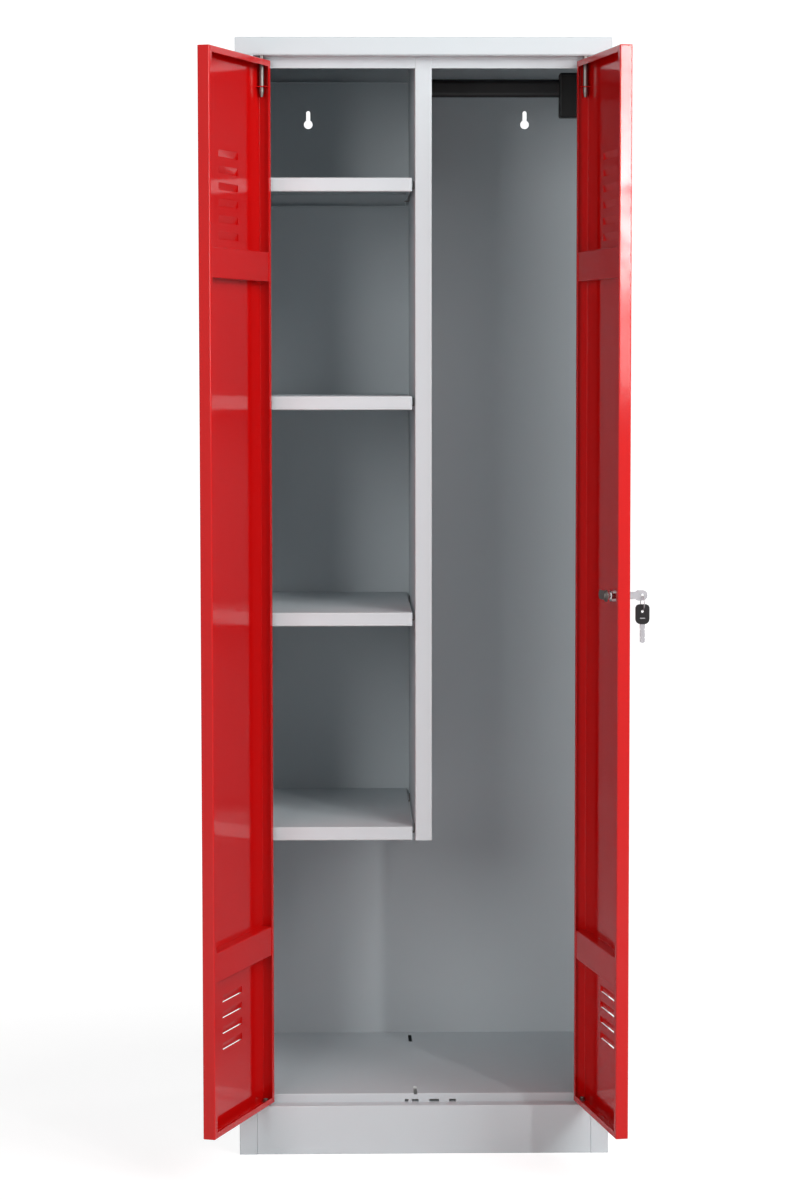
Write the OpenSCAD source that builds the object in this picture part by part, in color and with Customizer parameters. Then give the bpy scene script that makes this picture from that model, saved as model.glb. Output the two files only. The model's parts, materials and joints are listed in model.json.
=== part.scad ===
// Two-door metal locker: four shelves on the left, a hanging bay on the right.
// The origin lies on the floor, halfway between the hinge axes of the doors. X = 0 is the body's middle.
// Both doors are drawn open, as they stand at rest.

/* [Body] */
// Width of the body
body_w = 600; // [560:10:700]
// Depth of the body
body_d = 500; // [400:10:600]
// Height of the body
body_h = 1800; // [1780:10:1950]
// Thickness of the body's sheet steel
body_sheet = 0.8; // [0.7:0.1:1.2]
// Outer radius of every fold
fold_r = 1.8; // [1.6:0.1:2.4]
// Width of the front stile on each side
stile_w = 29; // [27:1:34]
// Width of the lips that stiffen the stiles and the back edges
edge_lip = 14; // [10:1:18]
// Height of the roof's front band
cap_h = 28; // [24:1:36]
// How far the header's stop lip hangs below the roof's band
header_drop = 19; // [16:1:24]
// Depth from the front plane to the door stops
stop_y = 25; // [24.5:0.5:30]
// Height of the plinth up to its ledge
plinth_h = 80; // [70:1:100]
// Height of the stop lip at the front of the floor
floor_lip = 14; // [10:1:18]

/* [Wall holes] */
// Distance between the two keyholes
keyhole_gap = 378; // [340:2:400]
// Depth of the keyholes' round holes below the roof
keyhole_drop = 100; // [90:1:130]
// Radius of a keyhole's round hole
keyhole_r = 7.5; // [6:0.5:9]
// Half width of a keyhole's narrow slot
keyhole_slot_r = 3.5; // [3:0.25:4]
// Height of the slot's upper centre over the round hole
keyhole_rise = 20; // [16:1:24]

/* [Doors] */
// Thickness of the doors' sheet steel
door_sheet = 1; // [0.8:0.1:1.2]
// Depth of a door's folded edge
door_d = 20; // [18:0.5:21]
// Width of the lip round the back of a door
door_lip = 10; // [8:0.5:12]
// Gap between a door and the stile beside it
side_gap = 3.2; // [3:0.1:4]
// Gap between the two doors
centre_gap = 3; // [2:0.5:5]
// Gap under the doors
bottom_gap = 3; // [2.5:0.5:5]
// Gap over the doors, which lets them lift off their pins
top_gap = 8; // [6:0.5:10]
// Distance from a door's hinge edge to its pivot
pivot_in = 10; // [9.5:0.25:10.5]
// Depth of the pivot behind the front plane
pivot_y = 8; // [7.5:0.25:8.5]
// Angle at which the left door stands open
left_open = 109; // [90:1:112]
// Angle at which the right door stands open
right_open = 100; // [90:1:112]
// Radius of the hinge pins
pin_r = 4; // [3.5:0.25:4.5]
// Length of an upper pin below the door's top
pin_drop = 58; // [50:1:70]
// Radial clearance of the hinge pins
pin_play = 0.06; // [0.03:0.01:0.09]

/* [Door bars] */
// Height of a stiffening bar
bar_h = 47; // [40:1:60]
// Height of the upper bars' middle below the doors' top
upper_bar_drop = 327; // [300:1:345]
// Height of the left lower bar's middle above the door's bottom
left_bar_rise = 267; // [262:1:290]
// Height of the right lower bar's middle above the door's bottom
right_bar_rise = 259; // [254:1:280]

/* [Louvres] */
// Length of a louvre
louvre_w = 87; // [60:1:110]
// Height of a louvre's hood
louvre_h = 13; // [10:0.5:16]
// How far a louvre stands out of the door
louvre_out = 4; // [3:0.5:7]
// Pitch of the louvres
louvre_pitch = 25.2; // [22:0.2:27]
// Distance from the hinge edge to the louvres' middle
louvre_in = 140; // [120:1:145]
// Number of louvres near the top
upper_louvres = 6; // [3:1:6]
// Depth of the highest louvre's slit below the doors' top
upper_louvre_drop = 163; // [150:1:164]
// Number of louvres near the bottom
lower_louvres = 4; // [2:1:4]
// Height of the lowest louvre's slit above the doors' bottom
lower_louvre_rise = 123; // [80:1:128]

/* [Shelves and partition] */
// Depth of the highest shelf's top below the roof
shelf_drop = 220; // [200:1:240]
// Pitch of the shelves
shelf_pitch = 349; // [320:1:355]
// Height of a shelf's front edge
shelf_edge = 22; // [20:1:26]
// Height of a shelf's side edges
shelf_side = 15; // [13:1:17]
// Gap between a shelf and the walls beside it
shelf_gap = 4.5; // [4:0.5:7]
// Width of the partition's front
partition_w = 27; // [26:1:34]
// Depth of the partition's right-hand return
partition_return = 20; // [16:1:26]
// Length of a slot in the floor under the partition
floor_slot = 56; // [40:2:70]

/* [Hanging rail] */
// Height of the oval rail
rail_h = 30; // [26:1:34]
// Thickness of the oval rail
rail_d = 15; // [13:1:17]
// Wall of the rail
rail_wall = 1.2; // [1:0.1:1.6]
// Depth of the rail's middle below the roof
rail_drop = 59; // [54:1:80]
// Reach of the right-hand bracket from the wall
bracket_w = 67; // [50:1:75]
// Height of the bracket over the rail's middle
bracket_up = 25; // [21:1:28]
// Depth of the bracket below the rail's middle
bracket_down = 49; // [44:1:60]

/* [Lock] */
// Height of the lock above the floor
lock_z = 925; // [900:1:1000]
// Distance from the door's leading edge to the lock
lock_in = 45; // [42:1:50]
// Radius of the lock's threaded barrel
barrel_r = 9; // [8.5:0.25:10]
// Width across the flats of the barrel
barrel_flats = 16; // [15:0.5:17]
// Radius of the lock's face
face_r = 11.5; // [11:0.25:13]
// How far the lock's face stands out of the door
face_out = 9; // [7:0.5:12]
// Radius of the turning plug
plug_r = 6; // [5.5:0.25:6.5]
// Radial clearance of the plug
plug_play = 0.06; // [0.03:0.01:0.09]
// Length of the cam from the lock's axis to its tip
cam_l = 40; // [38:0.5:42]
// Width of the cam
cam_w = 14; // [12:1:16]
// Thickness of the cam
cam_t = 2.5; // [2:0.25:3]

/* [Keys] */
// Width of a key's blade
blade_w = 8; // [7:0.5:8.5]
// Thickness of a key's blade
blade_t = 2.2; // [1.8:0.1:2.4]
// Distance from the door to the near end of the key's bow
bow_out = 20; // [18:0.5:24]
// Length of the key's bow
bow_l = 19; // [18:0.5:21]
// Height of the key's bow
bow_h = 16; // [14:0.5:18]
// Radius of the holes in the keys
key_hole_r = 2.5; // [2.2:0.1:2.8]
// Mean radius of the key ring
ring_r = 11; // [10:0.5:13]
// Radius of the ring's wire
ring_wire_r = 0.8; // [0.6:0.1:0.9]
// Width of the spare key's grip
grip_w = 22; // [20:0.5:24]
// Length of the spare key's grip
grip_l = 31; // [28:0.5:33]
// Thickness of the spare key's grip
grip_t = 3.6; // [3:0.2:4.2]
// Length of the spare key's blade below its grip
spare_blade_l = 29; // [25:1:32]

/* [Hidden] */

body_grey = [0.80, 0.81, 0.82];
door_red = [0.78, 0.11, 0.09];
zinc = [0.72, 0.73, 0.74];
plastic_black = [0.05, 0.05, 0.055];

fold_steps = 4;
seat = 0.3;
half_t = body_sheet / 2;
wall_x = body_w / 2;
inner_x = wall_x - body_sheet;
stile_x = wall_x - stile_w;
back_y = body_d - 2 * body_sheet;
cap_z = body_h - cap_h;
header_z = cap_z - header_drop;
floor_z = plinth_h + floor_lip;

hinge_x = stile_x - side_gap;
door_w = hinge_x - centre_gap / 2;
door_z0 = plinth_h + bottom_gap;
door_z1 = cap_z - top_gap;
pivot_x = hinge_x - pivot_in;
louvre_x = hinge_x - louvre_in;
lock_x = centre_gap / 2 + lock_in;

part_x = partition_w / 2;
part_y = stop_y - body_sheet;
shelf_count = 4;
shelf_z = body_h - shelf_drop - (shelf_count - 1) * shelf_pitch;
part_z0 = shelf_z - shelf_edge;
shelf_y = stop_y + body_sheet + seat;
shelf_x0 = -inner_x + shelf_gap;
shelf_x1 = -part_x - shelf_gap;
shelf_back_gap = 2;
shelf_return = 10;
shelf_corner_r = 3;
clip_t = 1.5;
clip_w = 14;
clip_reach = 4;
clip_h = shelf_side - 3;
clip_in = 45;
floor_slot_w = 6;
floor_slot_in = 50;
floor_notches = [[-28, 6], [-14, 11], [17, 15], [47, 11]];
notch_h = 4.5;

rail_y = body_d / 2;
rail_z = body_h - rail_drop;
rail_play = 0.2;
socket_wall = 3;
socket_h = rail_h + 10;
socket_d = rail_d + 10;
socket_w = 14;
socket_ear = 10;
rail_x0 = -part_x + body_sheet + socket_wall;
bracket_x0 = inner_x - bracket_w;
bracket_d = 2 * rail_d;
bracket_ear = 14;
bracket_wall = 4;
rail_x1 = inner_x - bracket_wall;
rivet_r = 2;
rivet_head_r = 4;
rivet_head_h = 1.8;
rivet_play = 0.1;
rivet_in = 13;
rivet_hole_l = bracket_wall + body_sheet + 2;

bar_z = (bar_h - door_sheet) / 2;
bar_y = door_d - door_sheet * 1.5;
washer_r = 8;
lower_pin_h = 11;
upper_pin_rise = 6;
upper_pin_l = pin_drop + top_gap + upper_pin_rise;
pin_chamfer = 1;
pin_taper = 8;
pin_tip_r = pin_r - 1.6;
guide_t = 1.5;
guide_leg = 14;
guide_z = door_z1 - pin_drop + 2 * pin_taper;
slit = 0.4;

bezel_edge = 1.5;
barrel_l = 20;
lock_hole_play = 0.15;
nut_flats = 23;
nut_t = 4.5;
cam_y = stop_y + 0.6;
tail_w = 7;
tail_play = 0.1;
cam_screw_r = 5;
cam_screw_h = 2.6;
key_play = 0.3;
key_in = 8;
plug_proud = 0.6;
slot_up = sqrt(max(cam_l * cam_l - (lock_x - part_x) * (lock_x - part_x), 0)) + 3;
slot_down = cam_w / 2 + 3;
bow_hole_y = bow_out + bow_l * 0.6;
ring_drop = key_hole_r - ring_wire_r - seat;
ring_z = lock_z - ring_drop;
spare_z = ring_z - 2 * ring_r;
grip_top = 11;
blade_seat = 10;
blade_z = grip_top - grip_l - spare_blade_l;
key_cuts = [0.9, 1.5, 0.7, 1.2, 1.6];
key_cut_pitch = spare_blade_l / 7;

function unit(v) = v / norm(v);
function rot90(v) = [-v.y, v.x];

// Points of an arc, or its centre alone where the radius is nothing
function arc(c, r, a0, a1) = r > 0
  ? [for (i = [0:fold_steps]) let (a = a0 + (a1 - a0) * i / fold_steps) c + r * [cos(a), sin(a)]]
  : [c];

// Outline of a rectangle whose four corners have the radii r, from the lower left one round
function rounded(x0, y0, x1, y1, r) = concat(
  arc([x0 + r[0], y0 + r[0]], r[0], 180, 270), arc([x1 - r[1], y0 + r[1]], r[1], 270, 360),
  arc([x1 - r[2], y1 - r[2]], r[2], 0, 90), arc([x0 + r[3], y1 - r[3]], r[3], 90, 180));

// One side of the bend at p1, for a sheet of thickness t whose middle runs through p0, p1 and p2
function bend(p0, p1, p2, t, side) =
  let (a = unit(p1 - p0), b = unit(p2 - p1), s = sign(a.x * b.y - a.y * b.x), r = fold_r - t / 2,
       turn = acos(a * b), c = p1 - a * r * tan(turn / 2) + rot90(a) * s * r,
       from = atan2(-s * a.x, s * a.y))
  arc(c, r - s * side * t / 2, from, from + s * turn);

// One side of a folded sheet, from end to end
function sheet_side(p, t, side) =
  let (n = len(p) - 1, a = rot90(unit(p[1] - p[0])), b = rot90(unit(p[n] - p[n - 1])))
  concat([p[0] + a * side * t / 2],
    n > 1 ? [for (i = [1:n - 1]) each bend(p[i - 1], p[i], p[i + 1], t, side)] : [],
    [p[n] + b * side * t / 2]);

function reversed(p) = [for (i = [len(p) - 1:-1:0]) p[i]];

// Section of a sheet of thickness t folded along the points p
module fold(p, t) polygon(concat(sheet_side(p, t, 1), reversed(sheet_side(p, t, -1))));

// Extrusion along X of a section drawn with Y to the right and Z up
module along_x(x0, x1) translate([x0, 0, 0]) rotate([90, 0, 90]) linear_extrude(x1 - x0) children();

// Extrusion along Y of a section drawn with X to the right and Z up
module along_y(y0, y1) translate([0, y1, 0]) rotate([90, 0, 0]) linear_extrude(y1 - y0) children();

module span(x0, x1, y0, y1, z0, z1) translate([x0, y0, z0]) cube([x1 - x0, y1 - y0, z1 - z0]);

// Block between two corners, with radius r on its folds and rc on its upright edges, inset by t
module block(a, b, r, rc, t) {
  q = max(r - t, 0);
  qc = max(rc - t, 0);
  intersection() {
    along_y(a.y + t, b.y - t) polygon(rounded(a.x + t, a.z + t, b.x - t, b.z - t, [q, q, q, q]));
    along_x(a.x + t, b.x - t) polygon(rounded(a.y + t, a.z + t, b.y - t, b.z - t, [q, q, q, q]));
    translate([0, 0, a.z + t]) linear_extrude(b.z - a.z - 2 * t)
      polygon(rounded(a.x + t, a.y + t, b.x - t, b.y - t, [qc, qc, qc, qc]));
  }
}

module shell(a, b, t, rc) difference() {
  block(a, b, fold_r, rc, 0);
  block(a, b, fold_r, rc, t);
}

// Puts what is measured from the body's front plane in place
module datum() translate([0, -pivot_y, 0]) children();

module side_sheet() {
  linear_extrude(cap_z) fold([[-stile_x - edge_lip, stop_y + half_t], [-stile_x - half_t, stop_y + half_t],
    [-stile_x - half_t, half_t], [-wall_x + half_t, half_t], [-wall_x + half_t, body_d - half_t],
    [-wall_x + edge_lip, body_d - half_t]], body_sheet);
  span(-wall_x + half_t, -wall_x + edge_lip, fold_r, back_y, 0, body_sheet);
  span(-wall_x + half_t, -wall_x + edge_lip, stop_y + 2, back_y, cap_z - body_sheet, cap_z);
}

module left_side() color(body_grey) datum() side_sheet();

module right_side() color(body_grey) datum() difference() {
  mirror([1, 0, 0]) side_sheet();
  bracket_holes() rivet_hole();
}

module back_panel() color(body_grey) datum() difference() {
  span(fold_r - wall_x, wall_x - fold_r, back_y, back_y + body_sheet, 0, cap_z);
  for (x = [-keyhole_gap / 2, keyhole_gap / 2])
    translate([x, body_d, body_h - keyhole_drop]) rotate([90, 0, 0]) {
      cylinder(h = 4 * body_sheet, r = keyhole_r, $fn = 48);
      translate([0, keyhole_rise, 0]) cylinder(h = 4 * body_sheet, r = keyhole_slot_r, $fn = 32);
      translate([-keyhole_slot_r, 0, 0]) cube([2 * keyhole_slot_r, keyhole_rise, 4 * body_sheet]);
    }
}

module top_cover() color(body_grey) datum() difference() {
  shell([-wall_x, 0, cap_z], [wall_x, body_d, body_h], body_sheet, 0);
  span(-wall_x + edge_lip, wall_x - edge_lip, stop_y + body_sheet, body_d - edge_lip, cap_z - 1, cap_z + 2);
  pin_holes(cap_z - 1, cap_z + 2);
}

module header_rail() color(body_grey) datum() difference() {
  along_x(-stile_x, stile_x) fold([[body_sheet, cap_z - half_t], [stop_y + half_t, cap_z - half_t],
    [stop_y + half_t, header_z]], body_sheet);
  pin_holes(cap_z - 2, cap_z + 1);
}

// Bores for the upper hinge pins
module pin_holes(z0, z1) for (s = [-1, 1])
  translate([s * pivot_x, pivot_y, z0]) cylinder(h = z1 - z0, r = pin_r + pin_play, $fn = 48);

module floor_panel() color(body_grey) datum() difference() {
  shell([-inner_x, stop_y + body_sheet, plinth_h - 2 * fold_r], [inner_x, back_y, floor_z], body_sheet, 0);
  span(-wall_x, wall_x, 0, body_d, 0, plinth_h);
  for (n = floor_notches)
    span(n[0] - n[1] / 2, n[0] + n[1] / 2, stop_y, stop_y + 2 * fold_r, plinth_h - 1, plinth_h + notch_h);
  for (y = [floor_slot_in, back_y - floor_slot_in]) translate([-part_x, y, floor_z - 2]) rotate(90)
    slot(floor_slot, floor_slot_w, 4);
}

module plinth_front() color(body_grey) datum() along_x(-stile_x, stile_x)
  fold([[edge_lip, half_t], [half_t, half_t], [half_t, plinth_h - half_t],
    [stop_y + edge_lip, plinth_h - half_t]], body_sheet);

// Upright slot of length l along X and width w
module slot(l, w, h) {
  for (s = [-1, 1]) translate([s * (l - w) / 2, 0, 0]) cylinder(h = h, r = w / 2, $fn = 24);
  if (l > w) translate([-(l - w) / 2, -w / 2, 0]) cube([l - w, w, h]);
}

module partition() color(body_grey) datum() difference() {
  translate([0, 0, part_z0]) linear_extrude(body_h - body_sheet - part_z0)
    fold([[-part_x + edge_lip, back_y - half_t], [-part_x + half_t, back_y - half_t],
      [-part_x + half_t, part_y + half_t], [part_x - half_t, part_y + half_t],
      [part_x - half_t, part_y + partition_return], [part_x - 10, part_y + partition_return]], body_sheet);
  span(-wall_x, wall_x, 0, stop_y, cap_z - fold_r - seat, body_h);
  span(-wall_x, wall_x, body_d - edge_lip - seat, body_d, cap_z - seat, body_h);
  span(-wall_x, wall_x, stop_y, stop_y + body_sheet + seat, header_z - seat, body_h);
  span(part_x - 11, wall_x, stop_y, back_y, header_z - seat, body_h);
  span(part_x - 3, part_x + 1, stop_y, stop_y + 9, lock_z - slot_down, lock_z + slot_up);
  socket_holes() rivet_hole();
}

// One shelf, counted from the top
module shelf(i) {
  z = shelf_z + (shelf_count - i) * shelf_pitch;
  y1 = back_y - shelf_back_gap;
  color(body_grey) datum() difference() {
    shell([shelf_x0, shelf_y, z - shelf_edge], [shelf_x1, y1, z], body_sheet, shelf_corner_r);
    span(shelf_x0 + body_sheet, shelf_x1 - body_sheet, shelf_y + shelf_return, y1 - shelf_return,
      z - shelf_edge - 1, z - shelf_edge + 2);
    span(shelf_x0 - 1, shelf_x1 + 1, shelf_y + shelf_return, y1 - shelf_return,
      z - shelf_edge - 1, z - shelf_side);
  }
}

// Clips that carry the four corners of every shelf
module shelf_clips() color(zinc) datum() for (i = [1:shelf_count]) {
  z = shelf_z + (shelf_count - i) * shelf_pitch - shelf_side;
  for (y = [stop_y + clip_in, back_y - clip_in - clip_w]) {
    along_y(y, y + clip_w) clip(-inner_x, 1, z);
    along_y(y, y + clip_w) clip(-part_x, -1, z);
  }
}

// Section of an angle on a wall at x that reaches on side s under a shelf's side at z
module clip(x, s, z) fold([[x + s * (shelf_gap + clip_reach), z - clip_t / 2],
  [x + s * clip_t / 2, z - clip_t / 2], [x + s * clip_t / 2, z + clip_h]], clip_t);

// Section of an oval of height h and thickness d
module oval(h, d) {
  for (s = [-1, 1]) translate([0, s * (h - d) / 2]) circle(r = d / 2, $fn = 40);
  square([d, h - d], center = true);
}

// Seat for the rail's end between x0 and x1
module rail_bore(x0, x1) translate([0, rail_y, rail_z]) along_x(x0, x1)
  oval(rail_h + 2 * rail_play, rail_d + 2 * rail_play);

module hanging_rail() color(plastic_black) datum() translate([0, rail_y, rail_z]) along_x(rail_x0, rail_x1)
  difference() {
    oval(rail_h, rail_d);
    oval(rail_h - 2 * rail_wall, rail_d - 2 * rail_wall);
  }

module rail_bracket() color(plastic_black) datum() difference() {
  union() {
    block([bracket_x0, rail_y - bracket_d / 2, rail_z - bracket_down],
      [inner_x, rail_y + bracket_d / 2, rail_z + bracket_up], 4, 3, 0);
    span(inner_x - bracket_wall, inner_x, rail_y - bracket_d / 2 - bracket_ear,
      rail_y + bracket_d / 2 + bracket_ear, rail_z - bracket_down, rail_z + bracket_up);
  }
  rail_bore(bracket_x0 - 1, rail_x1);
  for (s = [-1, 1]) translate([0, s * bracket_d / 2, 0])
    span(bracket_x0 + 5, inner_x - bracket_wall - 3, rail_y - 2, rail_y + 2,
      rail_z - bracket_down + 5, rail_z + bracket_up - 5);
  bracket_holes() rivet_hole();
}

// Places of the bracket's rivets, with their heads towards the middle of the body
module bracket_holes() for (s = [-1, 1], z = [rivet_in - bracket_down, bracket_up - rivet_in])
  translate([inner_x - bracket_wall, rail_y + s * (bracket_d / 2 + bracket_ear / 2), rail_z + z])
    rotate([0, 90, 0]) children();

module rail_socket() color(plastic_black) datum() {
  x = -part_x + body_sheet;
  difference() {
    union() {
      translate([0, rail_y, rail_z]) along_x(x, x + socket_w) oval(socket_h, socket_d);
      span(x, x + socket_wall, rail_y - socket_d / 2 - socket_ear, rail_y + socket_d / 2 + socket_ear,
        rail_z - 8, rail_z + 8);
    }
    rail_bore(x + socket_wall, x + socket_w + 1);
    socket_holes() rivet_hole();
  }
}

module socket_holes() for (s = [-1, 1])
  translate([-part_x + body_sheet + socket_wall, rail_y + s * (socket_d + socket_ear) / 2, rail_z])
    rotate([0, -90, 0]) children();

module rivet_hole() translate([0, 0, -1]) cylinder(h = rivet_hole_l, r = rivet_r + rivet_play, $fn = 24);

// Blind rivet through a plate of thickness t and the body's sheet behind it
module rivet(t) rotate_extrude($fn = 24) polygon([[0, -rivet_head_h], [rivet_head_r * 0.6, -rivet_head_h],
  [rivet_head_r, -rivet_head_h * 0.4], [rivet_head_r, 0], [rivet_r, 0], [rivet_r, t + body_sheet],
  [0, t + body_sheet]]);

module rail_rivets() color(zinc) datum() {
  bracket_holes() rivet(bracket_wall);
  socket_holes() rivet(socket_wall);
}

module lower_hinge_pins() color(zinc) datum() for (s = [-1, 1])
  translate([s * pivot_x, pivot_y, plinth_h]) rotate_extrude($fn = 48)
    polygon([[0, 0], [pin_r, 0], [pin_r, lower_pin_h - pin_chamfer], [pin_r - pin_chamfer, lower_pin_h],
      [0, lower_pin_h]]);

module pin_washers() color(zinc) datum() for (s = [-1, 1])
  translate([s * pivot_x, pivot_y, plinth_h]) difference() {
    cylinder(h = bottom_gap, r = washer_r, $fn = 48);
    translate([0, 0, -1]) cylinder(h = bottom_gap + 2, r = pin_r + pin_play, $fn = 48);
  }

// Hood of one louvre, shrunk by t on every side but the bottom, which stays open
module hood(t) {
  tilt = atan(louvre_out / louvre_h);
  w = louvre_w / 2 - t;
  r = 5 - t;
  rotate([-tilt, 0, 0]) translate([0, t, 0]) along_y(0, 4 * louvre_out)
    polygon(concat([[-w, -2 * louvre_h], [w, -2 * louvre_h]], arc([w - r, -r - t], r, 0, 90),
      arc([r - w, -r - t], r, 90, 180)));
}

// One louvre with its slit at the origin, standing out towards -Y
module louvre_solid() intersection() {
  translate([0, 0, louvre_h]) hood(0);
  span(-louvre_w, louvre_w, -2 * louvre_out, half_t, 0, 2 * louvre_h);
}

module louvre_hollow() intersection() {
  translate([0, 0, louvre_h]) hood(door_sheet);
  span(-louvre_w, louvre_w, -2 * louvre_out, 2 * door_sheet, -1, 2 * louvre_h);
}

// Places of the louvres' slits on the closed left door
module louvre_places() {
  for (i = [0:upper_louvres - 1])
    translate([-louvre_x, 0, door_z1 - upper_louvre_drop - i * louvre_pitch]) children();
  for (i = [0:lower_louvres - 1])
    translate([-louvre_x, 0, door_z0 + lower_louvre_rise + i * louvre_pitch]) children();
}

// Slit through the back lip at the door's corner x, z, where its ends meet
module mitre(x, z) translate([x, door_d - fold_r, z])
  rotate([0, (x < -pivot_x) == (z < lock_z) ? -45 : 45, 0])
    translate([-2 * door_lip, 0, -slit / 2]) cube([4 * door_lip, 2 * fold_r, slit]);

// A door pan as it lies closed on the left side
module door_pan() difference() {
  union() {
    shell([-hinge_x, 0, door_z0], [-hinge_x + door_w, door_d, door_z1], door_sheet, fold_r);
    louvre_places() louvre_solid();
  }
  span(-hinge_x + door_lip, -hinge_x + door_w - door_lip, door_d / 2, door_d + 1,
    door_z0 + door_lip, door_z1 - door_lip);
  for (x = [-hinge_x, -hinge_x + door_w], z = [door_z0, door_z1]) mitre(x, z);
  louvre_places() difference() {
    louvre_hollow();
    span(-louvre_w, louvre_w, -1, 3, -2, 0);
  }
  for (z = [door_z0 - 1, door_z1 - 2]) translate([-pivot_x, pivot_y, z])
    cylinder(h = 3, r = pin_r + pin_play, $fn = 48);
}

// Swings what lies on the closed left or right door out to its place at rest
module swing_left() translate([-pivot_x, 0, 0]) rotate([0, 0, -left_open])
  translate([pivot_x, -pivot_y, 0]) children();

module swing_right() translate([pivot_x, 0, 0]) rotate([0, 0, right_open])
  translate([-pivot_x, -pivot_y, 0]) children();

// Bar across the back of a closed left door, with its middle at height z
module bar(z) along_x(-hinge_x + fold_r, -hinge_x + door_w - fold_r)
  translate([0, z])
    fold([[door_sheet, -bar_z], [bar_y, -bar_z], [bar_y, bar_z], [door_sheet, bar_z]], door_sheet);

module upper_pin() translate([-pivot_x, pivot_y, door_z1 - pin_drop]) rotate_extrude($fn = 48)
  polygon([[0, 0], [pin_tip_r, 0], [pin_r, pin_taper], [pin_r, upper_pin_l - pin_chamfer],
    [pin_r - pin_chamfer, upper_pin_l], [0, upper_pin_l]]);

// Angle in the door's corner that holds the lower end of the upper pin
module pin_guide() difference() {
  along_y(fold_r, door_d - fold_r)
    fold([[-hinge_x + door_sheet + guide_t / 2, guide_z - guide_leg],
      [-hinge_x + door_sheet + guide_t / 2, guide_z], [-pivot_x + pin_r + 4, guide_z]], guide_t);
  translate([-pivot_x, pivot_y, guide_z - 3]) cylinder(h = 6, r = pin_r, $fn = 48);
}

module left_door() color(door_red) swing_left() door_pan();
module left_upper_bar() color(door_red) swing_left() bar(door_z1 - upper_bar_drop);
module left_lower_bar() color(door_red) swing_left() bar(door_z0 + left_bar_rise);
module left_upper_pin() color(zinc) swing_left() upper_pin();
module left_pin_guide() color(door_red) swing_left() pin_guide();

module right_door() color(door_red) swing_right() difference() {
  mirror([1, 0, 0]) door_pan();
  lock_frame() translate([0, 0, -2])
    double_d(barrel_r + lock_hole_play, barrel_flats + 2 * lock_hole_play, 4);
}

module right_upper_bar() color(door_red) swing_right() mirror([1, 0, 0]) bar(door_z1 - upper_bar_drop);
module right_lower_bar() color(door_red) swing_right() mirror([1, 0, 0]) bar(door_z0 + right_bar_rise);
module right_upper_pin() color(zinc) swing_right() mirror([1, 0, 0]) upper_pin();
module right_pin_guide() color(door_red) swing_right() mirror([1, 0, 0]) pin_guide();

// Frame of the lock on the closed right door: +Z runs inwards along its axis, +Y is up
module lock_frame() translate([lock_x, 0, lock_z]) rotate([-90, 0, 0]) mirror([0, 1, 0]) children();

module double_d(r, flats, h) intersection() {
  cylinder(h = h, r = r, $fn = 64);
  translate([-flats / 2, -2 * r, 0]) cube([flats, 4 * r, h]);
}

module lock_housing() color(zinc) swing_right() lock_frame() difference() {
  union() {
    rotate_extrude($fn = 64) polygon([[0, -face_out], [face_r - bezel_edge, -face_out],
      [face_r, bezel_edge - face_out], [face_r, 0], [0, 0]]);
    double_d(barrel_r, barrel_flats, barrel_l);
  }
  translate([0, 0, -face_out - 1]) cylinder(h = face_out + barrel_l + 2, r = plug_r + plug_play, $fn = 64);
}

module lock_nut() color(zinc) swing_right() lock_frame() translate([0, 0, door_sheet]) difference() {
  intersection() {
    cylinder(h = nut_t, r = nut_flats / sqrt(3), $fn = 6);
    rotate_extrude($fn = 64) polygon([[0, 0], [nut_flats / sqrt(3), 0], [nut_flats / sqrt(3), nut_t - 1.2],
      [nut_flats / sqrt(3) - 1.6, nut_t], [0, nut_t]]);
  }
  translate([0, 0, -1]) cylinder(h = nut_t + 2, r = barrel_r + tail_play, $fn = 64);
}

module lock_plug() color(zinc) swing_right() lock_frame() difference() {
  union() {
    translate([0, 0, -face_out - plug_proud])
      cylinder(h = face_out + plug_proud + cam_y, r = plug_r, $fn = 64);
    translate([-tail_w / 2, -tail_w / 2, cam_y - 1]) cube([tail_w, tail_w, cam_t + 1]);
  }
  translate([-blade_t / 2 - key_play, -blade_w / 2 - key_play, -face_out - plug_proud - 1])
    cube([blade_t + 2 * key_play, blade_w + 2 * key_play, face_out + plug_proud + 1 + key_in + seat]);
}

// The cam as it lies unlocked, towards the hinges
module lock_cam() color(zinc) swing_right() lock_frame() translate([0, 0, cam_y]) rotate(-90) difference() {
  union() {
    cylinder(h = cam_t, r = cam_w / 2 + 2, $fn = 48);
    translate([-cam_w / 2, 0, 0]) cube([cam_w, cam_l - cam_w / 2, cam_t]);
    translate([0, cam_l - cam_w / 2, 0]) cylinder(h = cam_t, r = cam_w / 2, $fn = 48);
  }
  translate([-tail_w / 2 - tail_play, -tail_w / 2 - tail_play, -1])
    cube([tail_w + 2 * tail_play, tail_w + 2 * tail_play, cam_t + 2]);
}

module cam_screw() color(zinc) swing_right() lock_frame() translate([0, 0, cam_y + cam_t]) difference() {
  rotate_extrude($fn = 48) polygon([[0, 0], [cam_screw_r + 1, 0], [cam_screw_r + 1, 0.8],
    [cam_screw_r, 0.8], [cam_screw_r, cam_screw_h - 0.8], [cam_screw_r - 0.8, cam_screw_h],
    [0, cam_screw_h]]);
  for (a = [0, 90]) rotate(a) translate([-3, -0.5, cam_screw_h - 1.2]) cube([6, 1, 2]);
}

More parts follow.
